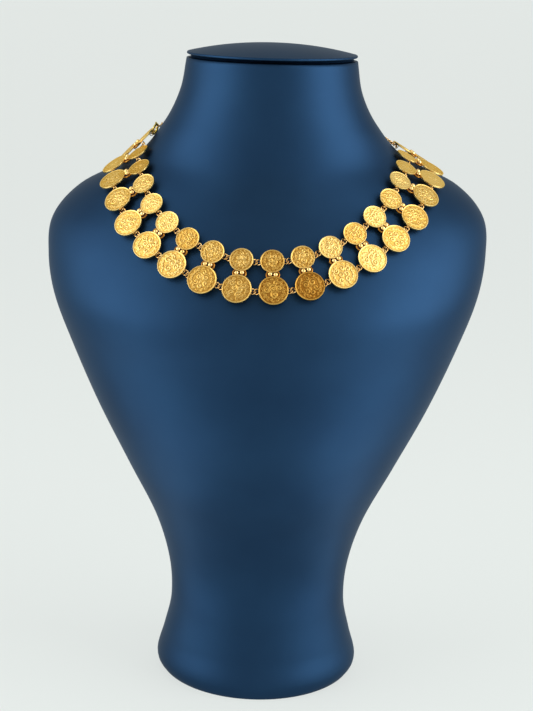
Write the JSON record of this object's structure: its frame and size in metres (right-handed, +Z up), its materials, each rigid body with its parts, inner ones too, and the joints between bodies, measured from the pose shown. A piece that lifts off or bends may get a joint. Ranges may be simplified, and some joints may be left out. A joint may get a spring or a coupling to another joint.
{
  "type": "coin necklace on a neck bust",
  "caption": "Gold collar necklace of two rows of linked coins with granules between them, closed by a bolt ring, laid on a plain dark blue neck bust.",
  "frame": {"origin": "on the floor, in the middle of the bust's foot from side to side and under its widest line", "axes": "+X to the right as seen from the front, -Y to the front, +Z up the neck"},
  "size_m": [0.2566, 0.1646, 0.379],
  "materials": {
    "blue_leatherette": "satin",
    "gold": "polished"
  },
  "bodies": {
    "root": {"bust_form": "blue_leatherette", "neck_cap": "blue_leatherette", "coin_pair_01": "gold", "coin_pair_02": "gold", "coin_pair_03": "gold", "coin_pair_04": "gold", "coin_pair_05": "gold", "coin_pair_06": "gold", "coin_pair_07": "gold", "coin_pair_08": "gold", "coin_pair_09": "gold", "coin_pair_10": "gold", "coin_pair_11": "gold", "coin_pair_12": "gold", "coin_pair_13": "gold", "coin_pair_14": "gold", "coin_pair_15": "gold", "coin_pair_16": "gold", "coin_pair_17": "gold", "coin_pair_18": "gold", "coin_pair_19": "gold", "inner_links": "gold", "outer_links": "gold", "back_chain": "gold", "bolt_ring": "gold", "end_rings": "gold"}
  },
  "joints": []
}
